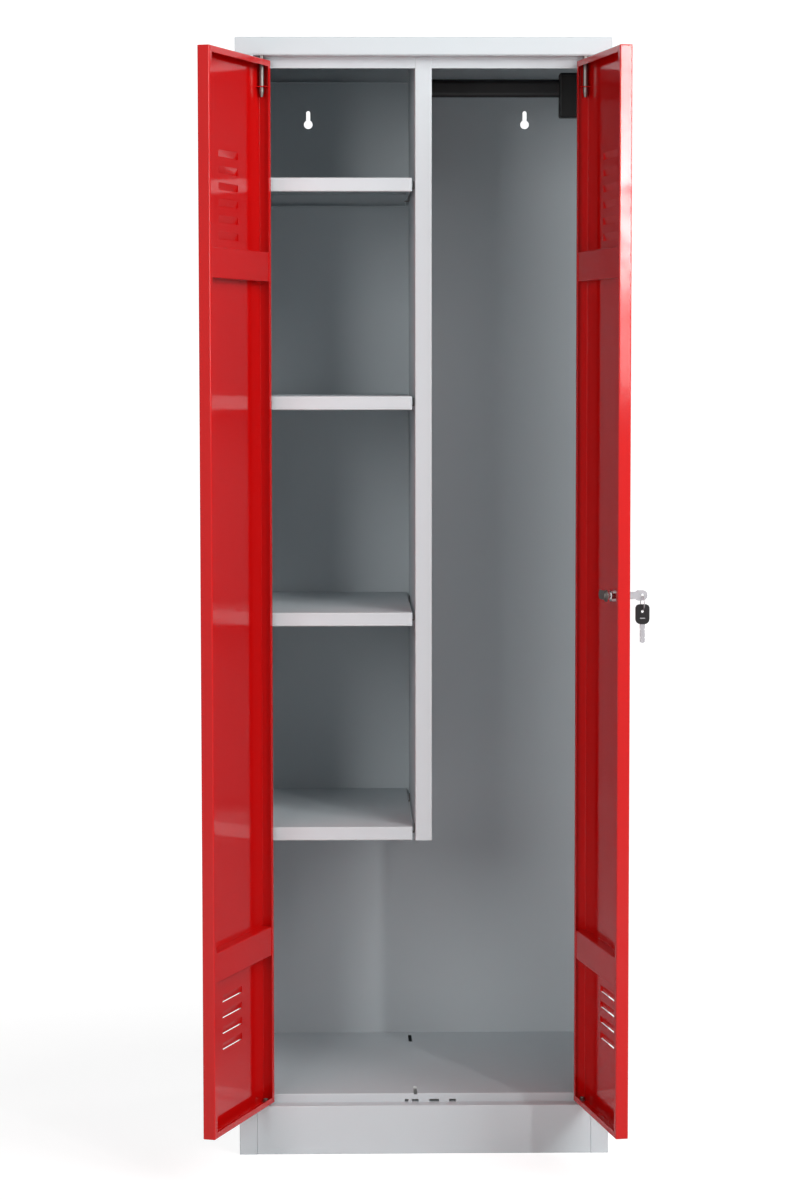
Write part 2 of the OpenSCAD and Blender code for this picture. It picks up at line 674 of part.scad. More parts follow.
// The key in the lock, with its bow upright
module key() color(zinc) swing_right() lock_frame() translate([-blade_t / 2, 0, 0]) rotate([0, 90, 0])
  linear_extrude(blade_t) difference() {
    union() {
      translate([-key_in, -blade_w / 2]) square([key_in + bow_out + 2, blade_w]);
      polygon(rounded(bow_out, -bow_h / 2, bow_out + bow_l, bow_h / 2, [4, 7, 7, 4]));
      polygon(rounded(face_out + 3, -bow_h * 0.36, bow_out + 2, bow_h * 0.36, [1, 0, 0, 1]));
    }
    translate([bow_hole_y, 0]) circle(r = key_hole_r, $fn = 40);
  }

// Puts what hangs from the bow's hole in place: +X runs along the hole, -Y down, +Z inwards
module hang_frame(z) swing_right() lock_frame() translate([0, z - lock_z, -bow_hole_y]) children();

module key_ring() color(zinc) hang_frame(ring_z) translate([0, -ring_r, 0])
  rotate_extrude($fn = 64) translate([ring_r, 0]) circle(r = ring_wire_r, $fn = 16);

module spare_key_grip() color(plastic_black) hang_frame(spare_z - ring_drop) rotate([0, 90, 0])
  translate([0, 0, -grip_t / 2]) difference() {
    linear_extrude(grip_t) difference() {
      polygon(rounded(-grip_w / 2, grip_top - grip_l, grip_w / 2, grip_top, [8, 8, 6, 6]));
      circle(r = key_hole_r, $fn = 40);
    }
    translate([-blade_w / 2 - key_play, grip_top - grip_l - 1, grip_t / 2 - blade_t / 2 - key_play])
      cube([blade_w + 2 * key_play, blade_seat + 1, blade_t + 2 * key_play]);
    for (z = [-1, grip_t - 0.5]) translate([0, 0, z]) linear_extrude(1.5)
      polygon(rounded(-grip_w * 0.28, grip_top - grip_l * 0.72, grip_w * 0.28, grip_top - grip_l * 0.5,
        [2, 2, 2, 2]));
  }

module spare_key_blade() color(zinc) hang_frame(spare_z - ring_drop) rotate([0, 90, 0])
  translate([0, 0, -blade_t / 2]) linear_extrude(blade_t) difference() {
    polygon(rounded(-blade_w / 2, blade_z, blade_w / 2, grip_top - grip_l + blade_seat - seat, [3, 3, 0, 0]));
    for (i = [0:len(key_cuts) - 1], s = [-1, 1])
      translate([s * blade_w / 2, blade_z + (i + 1) * key_cut_pitch]) rotate(45)
        square(key_cuts[i] * sqrt(2), center = true);
  }

left_side();
right_side();
back_panel();
top_cover();
header_rail();
floor_panel();
plinth_front();
partition();
shelf(1);  // shelf_1
shelf(2);  // shelf_2
shelf(3);  // shelf_3
shelf(4);  // shelf_4
shelf_clips();
hanging_rail();
rail_bracket();
rail_socket();
rail_rivets();
lower_hinge_pins();
pin_washers();
left_door();
left_upper_bar();
left_lower_bar();
left_upper_pin();
left_pin_guide();
right_door();
right_upper_bar();
right_lower_bar();
right_upper_pin();
right_pin_guide();
lock_housing();
lock_nut();
lock_plug();
lock_cam();
cam_screw();
key();
key_ring();
spare_key_grip();
spare_key_blade();
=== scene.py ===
"""Looks of a sheet-steel locker with a shelved side, a hanging bay and two open doors.

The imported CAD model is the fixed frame. This script coats its nodes with procedural finishes, adds
the small detail that the solids leave out, and sets the studio and the camera of the photograph.
All lengths are in metres: +X to the right, +Y to the back, +Z up, the floor at Z = 0.
"""

from __future__ import annotations

import json
import logging
import math
from abc import ABC, abstractmethod
from dataclasses import dataclass
from enum import Enum
from typing import Any, Iterable, Sequence

import bmesh
import bpy
from mathutils import Matrix, Vector

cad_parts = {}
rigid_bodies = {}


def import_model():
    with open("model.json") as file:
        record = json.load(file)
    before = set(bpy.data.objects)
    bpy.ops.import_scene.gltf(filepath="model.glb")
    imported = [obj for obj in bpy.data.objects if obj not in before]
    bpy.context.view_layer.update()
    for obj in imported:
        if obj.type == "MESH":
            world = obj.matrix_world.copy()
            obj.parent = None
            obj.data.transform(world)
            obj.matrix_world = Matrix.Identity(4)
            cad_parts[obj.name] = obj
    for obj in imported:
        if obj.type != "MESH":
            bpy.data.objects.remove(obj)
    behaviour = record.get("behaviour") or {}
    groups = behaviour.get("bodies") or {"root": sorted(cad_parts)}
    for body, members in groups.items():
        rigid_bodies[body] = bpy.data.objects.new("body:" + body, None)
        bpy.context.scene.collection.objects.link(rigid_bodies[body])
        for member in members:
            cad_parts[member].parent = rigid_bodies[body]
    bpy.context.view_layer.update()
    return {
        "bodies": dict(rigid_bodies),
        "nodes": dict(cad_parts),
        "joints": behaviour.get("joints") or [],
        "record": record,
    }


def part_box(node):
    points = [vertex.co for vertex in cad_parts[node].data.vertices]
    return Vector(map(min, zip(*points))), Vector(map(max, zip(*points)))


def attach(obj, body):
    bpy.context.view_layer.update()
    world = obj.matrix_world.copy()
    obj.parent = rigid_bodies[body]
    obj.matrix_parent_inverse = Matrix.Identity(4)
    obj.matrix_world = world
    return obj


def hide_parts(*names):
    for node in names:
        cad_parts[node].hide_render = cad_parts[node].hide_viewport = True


LOG = logging.getLogger("locker")

Colour = tuple[float, float, float]
Point = tuple[float, float, float]


class Body(Enum):
    """Bodies of the frame that the pieces of this script ride on."""

    CARCASS = "carcass"
    LEFT_LEAF = "left_door_leaf"
    RIGHT_LEAF = "right_door_leaf"
    RING = "ring"


class Slot(Enum):
    """Material slots of the record."""

    BODY_PAINT = "body_paint"
    DOOR_PAINT = "door_paint"
    ZINC = "zinc_steel"
    RAIL = "rail_black"
    BRACKET = "bracket_black"
    LOCK = "lock_chrome"
    KEY = "key_nickel"
    GRIP = "key_plastic"


class NodeTree:
    """A small builder round a shader or geometry node tree."""

    def __init__(self, tree: bpy.types.NodeTree) -> None:
        """Takes the tree and empties it.

        Args:
            tree: The node tree to fill.
        """
        self.tree = tree
        tree.nodes.clear()

    def add(self, kind: str, **settings: Any) -> bpy.types.Node:
        """Adds a node.

        Args:
            kind: Blender's identifier of the node's type.
            **settings: Attributes of the node, by name.

        Returns:
            The new node.
        """
        node = self.tree.nodes.new(kind)
        for name, value in settings.items():
            setattr(node, name, value)
        return node

    def link(self, source: bpy.types.NodeSocket, target: bpy.types.NodeSocket) -> None:
        """Links an output to an input."""
        self.tree.links.new(source, target)

    def math(self, operation: str, *values: Any) -> bpy.types.NodeSocket:
        """Adds a Math node.

        Args:
            operation: The node's operation.
            *values: A number or an output socket for each input.

        Returns:
            The node's output.
        """
        node = self.add("ShaderNodeMath", operation=operation)
        for socket, value in zip(node.inputs, values):
            if isinstance(value, bpy.types.NodeSocket):
                self.link(value, socket)
            else:
                socket.default_value = value
        return node.outputs[0]

    def spread(self, source: bpy.types.NodeSocket, low: float, high: float,
               to_low: float, to_high: float) -> bpy.types.NodeSocket:
        """Maps a value from one range to another, clamped.

        Args:
            source: The value.
            low: Start of the range that it comes from.
            high: End of that range.
            to_low: Result at the start.
            to_high: Result at the end.

        Returns:
            The mapped value.
        """
        node = self.add("ShaderNodeMapRange")
        self.link(source, node.inputs["Value"])
        node.inputs["From Min"].default_value = low
        node.inputs["From Max"].default_value = high
        node.inputs["To Min"].default_value = to_low
        node.inputs["To Max"].default_value = to_high
        return node.outputs["Result"]


def new_group(name: str, inputs: dict[str, tuple[str, float]], outputs: Sequence[str]) -> NodeTree:
    """Makes an empty shader node group.

    Args:
        name: Name of the group.
        inputs: Socket type and default of each input, by name.
        outputs: Names of the group's values.

    Returns:
        The builder of the group's tree.
    """
    tree = bpy.data.node_groups.new(name, "ShaderNodeTree")
    for label, (kind, default) in inputs.items():
        socket = tree.interface.new_socket(label, in_out="INPUT", socket_type=kind)
        if kind == "NodeSocketFloat":
            socket.default_value = default
    for label in outputs:
        tree.interface.new_socket(label, in_out="OUTPUT", socket_type="NodeSocketFloat")
    return NodeTree(tree)


class Surfaces:
    """Shader node groups that more than one finish shares.

    Attributes:
        GRAIN_RATIO: How many times finer the grain of a coat is than its swell.
        SCUFF_RATIO: How many times finer the scuffs are than the broad patches.
    """

    GRAIN_RATIO = 3.3
    SCUFF_RATIO = 7.0

    def __init__(self) -> None:
        """Builds each group once."""
        self.peel = self._orange_peel()
        self.handling = self._handling()
        self.drawn = self._drawn_lines()

    @staticmethod
    def _orange_peel() -> bpy.types.NodeTree:
        """Ripple of a baked powder coat: a fine grain over a wider swell.

        Returns:
            Group with the inputs Vector, Ripples and Grain and the outputs Height and Fleck.
        """
        bench = new_group("orange_peel", {"Vector": ("NodeSocketVector", 0.0),
                                          "Ripples": ("NodeSocketFloat", 900.0),
                                          "Grain": ("NodeSocketFloat", 0.35)}, ["Height", "Fleck"])
        enter, leave = bench.add("NodeGroupInput"), bench.add("NodeGroupOutput")
        swell = bench.add("ShaderNodeTexNoise", noise_dimensions="3D")
        swell.inputs["Detail"].default_value = 1.0
        grain = bench.add("ShaderNodeTexNoise", noise_dimensions="3D")
        grain.inputs["Detail"].default_value = 2.0
        for noise in (swell, grain):
            bench.link(enter.outputs["Vector"], noise.inputs["Vector"])
        bench.link(enter.outputs["Ripples"], swell.inputs["Scale"])
        finer = bench.math("MULTIPLY", enter.outputs["Ripples"], Surfaces.GRAIN_RATIO)
        bench.link(finer, grain.inputs["Scale"])
        fine = bench.math("MULTIPLY", grain.outputs["Fac"], enter.outputs["Grain"])
        bench.link(bench.math("ADD", swell.outputs["Fac"], fine), leave.inputs["Height"])
        bench.link(bench.spread(grain.outputs["Fac"], 0.35, 0.65, 0.0, 1.0), leave.inputs["Fleck"])
        return bench.tree

    @staticmethod
    def _handling() -> bpy.types.NodeTree:
        """Broad, soft patches that the hand, the cloth and the oven leave on a coat.

        Returns:
            Group with the inputs Vector and Patches and the outputs Tone and Scuff.
        """
        bench = new_group("handling_marks", {"Vector": ("NodeSocketVector", 0.0),
                                             "Patches": ("NodeSocketFloat", 4.0)}, ["Tone", "Scuff"])
        enter, leave = bench.add("NodeGroupInput"), bench.add("NodeGroupOutput")
        broad = bench.add("ShaderNodeTexNoise", noise_dimensions="3D")
        broad.inputs["Detail"].default_value = 3.0
        broad.inputs["Roughness"].default_value = 0.45
        rubbed = bench.add("ShaderNodeTexNoise", noise_dimensions="3D")
        rubbed.inputs["Detail"].default_value = 5.0
        rubbed.inputs["Distortion"].default_value = 1.2
        for noise in (broad, rubbed):
            bench.link(enter.outputs["Vector"], noise.inputs["Vector"])
        bench.link(enter.outputs["Patches"], broad.inputs["Scale"])
        finer = bench.math("MULTIPLY", enter.outputs["Patches"], Surfaces.SCUFF_RATIO)
        bench.link(finer, rubbed.inputs["Scale"])
        bench.link(bench.spread(broad.outputs["Fac"], 0.3, 0.7, 0.0, 1.0), leave.inputs["Tone"])
        bench.link(bench.spread(rubbed.outputs["Fac"], 0.52, 0.78, 0.0, 1.0), leave.inputs["Scuff"])
        return bench.tree

    @staticmethod
    def _drawn_lines() -> bpy.types.NodeTree:
        """Fine lines of drawn or rolled metal, long along the stretched axes of the coordinate.

        Returns:
            Group with the inputs Vector and Lines and the output Line.
        """
        bench = new_group("drawn_lines", {"Vector": ("NodeSocketVector", 0.0),
                                          "Lines": ("NodeSocketFloat", 1200.0)}, ["Line"])
        enter, leave = bench.add("NodeGroupInput"), bench.add("NodeGroupOutput")
        lines = bench.add("ShaderNodeTexNoise", noise_dimensions="3D")
        lines.inputs["Detail"].default_value = 4.0
        bench.link(enter.outputs["Vector"], lines.inputs["Vector"])
        bench.link(enter.outputs["Lines"], lines.inputs["Scale"])
        bench.link(bench.spread(lines.outputs["Fac"], 0.3, 0.7, 0.0, 1.0), leave.inputs["Line"])
        return bench.tree


@dataclass(frozen=True)
class Finish(ABC):
    """What every finish has: a name, a colour and a place in the record.

    Attributes:
        name: Name of the Blender material.
        slot: The record's slot that the finish stands for.
        colour: Linear colour of the surface.
        roughness: Roughness where the surface is untouched.
    """

    name: str
    slot: Slot
    colour: Colour
    roughness: float

    @abstractmethod
    def build(self, shared: Surfaces) -> bpy.types.Material:
        """Builds the material with the shared node groups."""

    def start(self) -> tuple[bpy.types.Material, NodeTree, bpy.types.Node, bpy.types.NodeSocket]:
        """Makes an empty material with a shader and an object coordinate.

        Returns:
            The material, its tree's builder, the Principled shader and the coordinate.
        """
        material = bpy.data.materials.new(self.name)
        material.use_nodes = True
        material.diffuse_color = (*self.colour, 1.0)
        bench = NodeTree(material.node_tree)
        shader = bench.add("ShaderNodeBsdfPrincipled")
        output = bench.add("ShaderNodeOutputMaterial")
        bench.link(shader.outputs["BSDF"], output.inputs["Surface"])
        place = bench.add("ShaderNodeTexCoord").outputs["Object"]
        return material, bench, shader, place

    def tint(self, bench: NodeTree, value: bpy.types.NodeSocket, dark: float, light: float,
             shader: bpy.types.Node) -> None:
        """Lets the colour run between a darker and a lighter shade of itself.

        Args:
            bench: Builder of the material's tree.
            value: The value from 0 to 1 that steers the shade.
            dark: Factor on the colour at 0.
            light: Factor on the colour at 1.
            shader: The shader whose Base Color is fed.
        """
        ramp = bench.add("ShaderNodeValToRGB")
        ramp.color_ramp.elements[0].color = (*(min(1.0, c * dark) for c in self.colour), 1.0)
        ramp.color_ramp.elements[1].color = (*(min(1.0, c * light) for c in self.colour), 1.0)
        bench.link(value, ramp.inputs["Fac"])
        bench.link(ramp.outputs["Color"], shader.inputs["Base Color"])

    @staticmethod
    def relief(bench: NodeTree, height: bpy.types.NodeSocket, strength: float, depth: float,
               shader: bpy.types.Node) -> None:
        """Feeds a height to the shader's normal through a Bump node.

        Args:
            bench: Builder of the material's tree.
            height: The height, from 0 to about 1.
            strength: Strength of the bump.
            depth: Height of a full ripple in metres.
            shader: The shader whose Normal is fed.
        """
        bump = bench.add("ShaderNodeBump")
        bump.inputs["Strength"].default_value = strength
        bump.inputs["Distance"].default_value = depth
        bench.link(height, bump.inputs["Height"])
        bench.link(bump.outputs["Normal"], shader.inputs["Normal"])


@dataclass(frozen=True)
class PowderCoat(Finish):
    """Baked powder coat on sheet steel.

    Attributes:
        ripples: Ripples of the orange peel per metre.
        peel: Depth of the orange peel in metres.
        drift: Share by which the colour drifts over a panel.
        shine: Specular level of the coat.
        fleck_share: Share of the fine flecks in the drift; broad patches make up the rest.
        patches: Broad patches per metre.
        uneven: Roughness by which the patches differ from the coat's own.
        scuffed: Roughness that a scuff adds.
    """

    ripples: float = 900.0
    peel: float = 0.00002
    drift: float = 0.02
    shine: float = 0.5
    fleck_share: float = 0.3
    patches: float = 3.0
    uneven: float = 0.03
    scuffed: float = 0.07

    def build(self, shared: Surfaces) -> bpy.types.Material:
        """Builds the material.

        Args:
            shared: The shared node groups.

        Returns:
            The material.
        """
        material, bench, shader, place = self.start()
        peel = bench.add("ShaderNodeGroup", node_tree=shared.peel)
        peel.inputs["Ripples"].default_value = self.ripples
        marks = bench.add("ShaderNodeGroup", node_tree=shared.handling)
        marks.inputs["Patches"].default_value = self.patches
        for group in (peel, marks):
            bench.link(place, group.inputs["Vector"])
        fleck = bench.math("MULTIPLY", peel.outputs["Fleck"], self.fleck_share)
        broad = bench.math("MULTIPLY", marks.outputs["Tone"], 1.0 - self.fleck_share)
        self.tint(bench, bench.math("ADD", broad, fleck), 1.0 - self.drift, 1.0 + self.drift, shader)
        scuffs = bench.math("MULTIPLY", marks.outputs["Scuff"], self.scuffed)
        toned = bench.spread(marks.outputs["Tone"], 0.0, 1.0, self.roughness - self.uneven,
                             self.roughness + self.uneven)
        bench.link(bench.math("ADD", toned, scuffs), shader.inputs["Roughness"])
        shader.inputs["Specular IOR Level"].default_value = self.shine
        self.relief(bench, peel.outputs["Height"], strength=0.6, depth=self.peel, shader=shader)
        return material


@dataclass(frozen=True)
class PlatedMetal(Finish):
    """Zinc, nickel or chrome plate over drawn metal.

    Attributes:
        grain: Stretch of the drawn lines along X, Y and Z; a small number makes them long.
        drift: Share by which the colour drifts.
        line_depth: Depth of the drawn lines in metres.
        patches: Broad patches per metre.
        sheen: Roughness that the lines add, from the smoothest to the roughest.
        worn: Roughness that a scuff adds.
    """

    grain: Point = (1.0, 1.0, 0.08)
    drift: float = 0.06
    line_depth: float = 0.000008
    patches: float = 60.0
    sheen: tuple[float, float] = (-0.05, 0.08)
    worn: float = 0.1

    def build(self, shared: Surfaces) -> bpy.types.Material:
        """Builds the material.

        Args:
            shared: The shared node groups.

        Returns:
            The material.
        """
        material, bench, shader, place = self.start()
        shader.inputs["Metallic"].default_value = 1.0
        turn = bench.add("ShaderNodeMapping")
        turn.inputs["Scale"].default_value = self.grain
        bench.link(place, turn.inputs["Vector"])
        lines = bench.add("ShaderNodeGroup", node_tree=shared.drawn)
        bench.link(turn.outputs["Vector"], lines.inputs["Vector"])
        marks = bench.add("ShaderNodeGroup", node_tree=shared.handling)
        marks.inputs["Patches"].default_value = self.patches
        bench.link(place, marks.inputs["Vector"])
        self.tint(bench, marks.outputs["Tone"], 1.0 - self.drift, 1.0 + self.drift, shader)
        smooth, rough = (self.roughness + change for change in self.sheen)
        lined = bench.spread(lines.outputs["Line"], 0.0, 1.0, smooth, rough)
        scuffs = bench.math("MULTIPLY", marks.outputs["Scuff"], self.worn)
        bench.link(bench.math("ADD", lined, scuffs), shader.inputs["Roughness"])
        self.relief(bench, lines.outputs["Line"], strength=0.5, depth=self.line_depth, shader=shader)
        return material


@dataclass(frozen=True)
class MouldedPlastic(Finish):
    """Moulded plastic with a fine eroded texture.

    Attributes:
        texture: Grains of the texture per metre.
        depth: Depth of the texture in metres.
        shine: Specular level of the plastic.
        grain: Share of the fine grain in the texture.
        patches: Broad patches per metre.
        shades: Factors on the colour in the darkest and the lightest patch.
        rubbed: Roughness that a rubbed spot loses.
    """

    texture: float = 1500.0
    depth: float = 0.00003
    shine: float = 0.5
    grain: float = 0.8
    patches: float = 25.0
    shades: tuple[float, float] = (0.85, 1.25)
    rubbed: float = 0.12

    def build(self, shared: Surfaces) -> bpy.types.Material:
        """Builds the material.

        Args:
            shared: The shared node groups.

        Returns:
            The material.
        """
        material, bench, shader, place = self.start()
        peel = bench.add("ShaderNodeGroup", node_tree=shared.peel)
        peel.inputs["Ripples"].default_value = self.texture
        peel.inputs["Grain"].default_value = self.grain
        marks = bench.add("ShaderNodeGroup", node_tree=shared.handling)
        marks.inputs["Patches"].default_value = self.patches
        for group in (peel, marks):
            bench.link(place, group.inputs["Vector"])
        self.tint(bench, marks.outputs["Tone"], *self.shades, shader)
        rubbed = bench.math("MULTIPLY", marks.outputs["Scuff"], -self.rubbed)
        bench.link(bench.math("ADD", rubbed, self.roughness), shader.inputs["Roughness"])
        shader.inputs["Specular IOR Level"].default_value = self.shine
        self.relief(bench, peel.outputs["Height"], strength=0.7, depth=self.depth, shader=shader)
        return material


@dataclass(frozen=True)
class Paintshop:
    """All finishes of the locker, and the work of putting them on the frame's nodes.

    Attributes:
        finishes: One finish for each slot of the record.
    """

    finishes: tuple[Finish, ...] = (
        PowderCoat("light_grey_powder_coat", Slot.BODY_PAINT, (0.58, 0.628, 0.652), 0.46,
                   ripples=700.0, peel=0.000022, drift=0.02, shine=0.3),
        PowderCoat("red_powder_coat", Slot.DOOR_PAINT, (0.60, 0.0040, 0.0040), 0.10,
                   ripples=300.0, peel=0.000003, drift=0.025, shine=0.3),
        PlatedMetal("bright_zinc", Slot.ZINC, (0.20, 0.19, 0.18), 0.46),
        PowderCoat("satin_black_lacquer", Slot.RAIL, (0.006, 0.006, 0.007), 0.38,
                   ripples=1200.0, peel=0.00001, drift=0.2, shine=0.3),
        MouldedPlastic("black_bracket_plastic", Slot.BRACKET, (0.006, 0.006, 0.006), 0.5, shine=0.3),
        PlatedMetal("satin_chrome", Slot.LOCK, (0.78, 0.79, 0.80), 0.2, grain=(1.0, 1.0, 1.0),
                    drift=0.03, line_depth=0.000003),
        PlatedMetal("nickel_plate", Slot.KEY, (0.38, 0.37, 0.39), 0.34, grain=(0.3, 1.0, 1.0)),
        MouldedPlastic("black_grip_plastic", Slot.GRIP, (0.010, 0.009, 0.010), 0.42, texture=900.0,
                       depth=0.00001, shine=0.25),
    )

    def open(self) -> dict[Slot, bpy.types.Material]:
        """Builds every finish.

        Returns:
            The material of each slot.
        """
        shared = Surfaces()
        return {finish.slot: finish.build(shared) for finish in self.finishes}

    @staticmethod
    def coat(frame: dict[str, Any], paints: dict[Slot, bpy.types.Material]) -> None:
        """Puts the finishes on the nodes that the record gives to each slot.

        Args:
            frame: The loaded frame.
            paints: The material of each slot.
        """
        for part in frame["record"]["subparts"]:
            node = frame["nodes"][part["node"]]
            paint = paints[Slot(part["material_slot"])]
            for held in node.material_slots:
                held.material = paint
            LOG.info("%s is finished with %s", part["node"], paint.name)


def plain_piece(name: str, mesh: bpy.types.Mesh, paint: bpy.types.Material,
                body: Body) -> bpy.types.Object:
    """Places a finished mesh in the scene and lets it ride on a body.

    Args:
        name: Name of the piece.
        mesh: Its mesh, already in place.
        paint: Its material.
        body: The body that it moves with.

    Returns:
        The new object.
    """
    piece = bpy.data.objects.new(name, mesh)
    bpy.context.scene.collection.objects.link(piece)
    mesh.materials.clear()
    mesh.materials.append(paint)
    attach(piece, body.value)
    LOG.info("%s has %d faces and rides on %s", name, len(mesh.polygons), body.value)
    return piece


@dataclass(frozen=True)
class DoorLeaf:
    """Where a door stands at rest, to place detail that is given on the closed door.

    Attributes:
        body: The body of the door.
        side: -1 for the left door, 1 for the right one.
        opened: Angle by which it stands open, in degrees.
        bar_heights: Heights of the middles of its bars.
        pivot_x: Distance of the hinge axes from the middle.
        pivot_in: Distance from the hinge edge to the hinge axis.
        pivot_deep: Depth of the hinge axis behind the door's front.
        width: Width of the door.
        depth: Depth of its folded edge.
        lip: Width of the lip round its back.
    """

    body: Body
    side: int
    opened: float
    bar_heights: tuple[float, ...]
    pivot_x: float = 0.2578
    pivot_in: float = 0.010
    pivot_deep: float = 0.008
    width: float = 0.2663
    depth: float = 0.020
    lip: float = 0.010

    def place(self, along: float, deep: float, height: float) -> Vector:
        """Finds a point of the open door.

        Args:
            along: Distance from the hinge edge.
            deep: Distance behind the door's front.
            height: Height above the floor.

        Returns:
            The point in the frame.
        """
        closed = Vector((self.side * (self.pivot_in - along), deep - self.pivot_deep, height))
        turn = Matrix.Rotation(math.radians(self.side * self.opened), 3, "Z")
        return turn @ closed + Vector((self.side * self.pivot_x, 0.0, 0.0))

    def inwards(self) -> Vector:
        """Direction of the open door's inner face."""
        return self.place(0.0, 1.0, 0.0) - self.place(0.0, 0.0, 0.0)


LEFT_LEAF = DoorLeaf(Body.LEFT_LEAF, -1, 109.0, (1.437, 0.350))
RIGHT_LEAF = DoorLeaf(Body.RIGHT_LEAF, 1, 100.0, (1.437, 0.342))


@dataclass(frozen=True)
class WeldRow:
    """A straight row of spot welds on a flat face.

    Attributes:
        start: Middle of the first weld.
        end: Middle of the last weld.
        facing: Direction of the face.
    """

    start: Vector
    end: Vector
    facing: Vector


@dataclass(frozen=True)
class SpotWelds:
    """The shallow round marks that the welding tongs leave where two sheets are joined.

    Attributes:
        radius: Outer radius of a mark.
        rim: Width of its raised rim.
        rise: Height of the rim over the sheet.
        dip: Depth of the dish inside the rim.
        sides: Corners of a mark's outline.
        dish: Share of the flat's radius inside which the middle ring of points lies.
        wall_x: Distance of the body's outer walls from the middle.
        panel_y: Outer face of the back panel.
        floor_row: Height of the rows where the floor's lips meet the walls.
        floor_ends: Depths at which these rows start and end.
        partition_row: Place of the partition's row along X.
        partition_ends: Heights at which that row starts and ends.
        step: Distance between two welds of these rows.
        bar_half: Half the distance between the two welds at a bar's end.
    """

    radius: float = 0.0030
    rim: float = 0.0007
    rise: float = 0.00012
    dip: float = 0.00020
    sides: int = 14
    dish: float = 0.75
    wall_x: float = 0.300
    panel_y: float = 0.4912
    floor_row: float = 0.087
    floor_ends: tuple[float, float] = (0.045, 0.455)
    partition_row: float = -0.0065
    partition_ends: tuple[float, float] = (0.54, 1.74)
    step: float = 0.12
    bar_half: float = 0.013

    def carcass_rows(self) -> list[WeldRow]:
        """Lists the rows on the fixed body: floor to walls and partition to back panel.

        Returns:
            The rows.
        """
        rows = []
        for side in (-1.0, 1.0):
            start, end = (Vector((side * self.wall_x, y, self.floor_row)) for y in self.floor_ends)
            rows.append(WeldRow(start, end, Vector((side, 0.0, 0.0))))
        start, end = (Vector((self.partition_row, self.panel_y, z)) for z in self.partition_ends)
        rows.append(WeldRow(start, end, Vector((0.0, 1.0, 0.0))))
        return rows

    def leaf_rows(self, leaf: DoorLeaf) -> list[WeldRow]:
        """Lists the pairs of welds that join the ends of a door's bars to its lips.

        Args:
            leaf: The door.

        Returns:
            The rows, each with two welds.
        """
        rows = []
        for middle in leaf.bar_heights:
            for along in (leaf.lip / 2, leaf.width - leaf.lip / 2):
                ends = [leaf.place(along, leaf.depth, middle + s * self.bar_half) for s in (-1.0, 1.0)]
                rows.append(WeldRow(ends[0], ends[1], leaf.inwards()))
        return rows

    def tree(self) -> bpy.types.NodeTree:
        """Builds the node tree that sets a mark at equal steps along every edge.

        Returns:
            Tree with the inputs Step, Radius, Rim, Rise, Dip and Paint.
        """
        tree = bpy.data.node_groups.new("spot_welds", "GeometryNodeTree")
        tree.interface.new_socket("Geometry", in_out="INPUT", socket_type="NodeSocketGeometry")
        for label in ("Step", "Radius", "Rim", "Rise", "Dip"):
            tree.interface.new_socket(label, in_out="INPUT", socket_type="NodeSocketFloat")
        tree.interface.new_socket("Paint", in_out="INPUT", socket_type="NodeSocketMaterial")
        tree.interface.new_socket("Geometry", in_out="OUTPUT", socket_type="NodeSocketGeometry")
        bench = NodeTree(tree)
        enter, leave = bench.add("NodeGroupInput"), bench.add("NodeGroupOutput")

        lines = bench.add("GeometryNodeMeshToCurve")
        bench.link(enter.outputs["Geometry"], lines.inputs["Mesh"])
        steps = bench.add("GeometryNodeResampleCurve", mode="LENGTH")
        bench.link(lines.outputs["Curve"], steps.inputs["Curve"])
        bench.link(enter.outputs["Step"], steps.inputs["Length"])
        facing = bench.add("GeometryNodeInputNamedAttribute", data_type="FLOAT_VECTOR")
        facing.inputs["Name"].default_value = "facing"
        turned = bench.add("FunctionNodeAlignRotationToVector", axis="Z")
        bench.link(facing.outputs["Attribute"], turned.inputs["Vector"])

        button = bench.add("GeometryNodeMeshCone", fill_type="TRIANGLE_FAN")
        button.inputs["Vertices"].default_value = self.sides
        button.inputs["Fill Segments"].default_value = 2
        flat = bench.math("SUBTRACT", enter.outputs["Radius"], enter.outputs["Rim"])
        depth = bench.math("MULTIPLY", enter.outputs["Rise"], 2.0)
        bench.link(flat, button.inputs["Radius Top"])
        bench.link(enter.outputs["Radius"], button.inputs["Radius Bottom"])
        bench.link(depth, button.inputs["Depth"])
        spot = bench.add("GeometryNodeInputPosition")
        apart = bench.add("ShaderNodeSeparateXYZ")
        bench.link(spot.outputs[0], apart.inputs[0])
        level = bench.add("ShaderNodeCombineXYZ")
        bench.link(apart.outputs["X"], level.inputs["X"])
        bench.link(apart.outputs["Y"], level.inputs["Y"])
        reach = bench.add("ShaderNodeVectorMath", operation="LENGTH")
        bench.link(level.outputs[0], reach.inputs[0])
        inner = bench.math("LESS_THAN", reach.outputs["Value"], bench.math("MULTIPLY", flat, self.dish))
        upper = bench.math("GREATER_THAN", apart.outputs["Z"], enter.outputs["Rise"])
        sink = bench.math("MULTIPLY", bench.math("MULTIPLY", inner, upper), enter.outputs["Dip"])
        lowered = bench.math("SUBTRACT", bench.math("MULTIPLY", sink, -1.0), enter.outputs["Rise"])
        offset = bench.add("ShaderNodeCombineXYZ")
        bench.link(lowered, offset.inputs["Z"])
        dished = bench.add("GeometryNodeSetPosition")
        bench.link(button.outputs["Mesh"], dished.inputs["Geometry"])
        bench.link(offset.outputs[0], dished.inputs["Offset"])

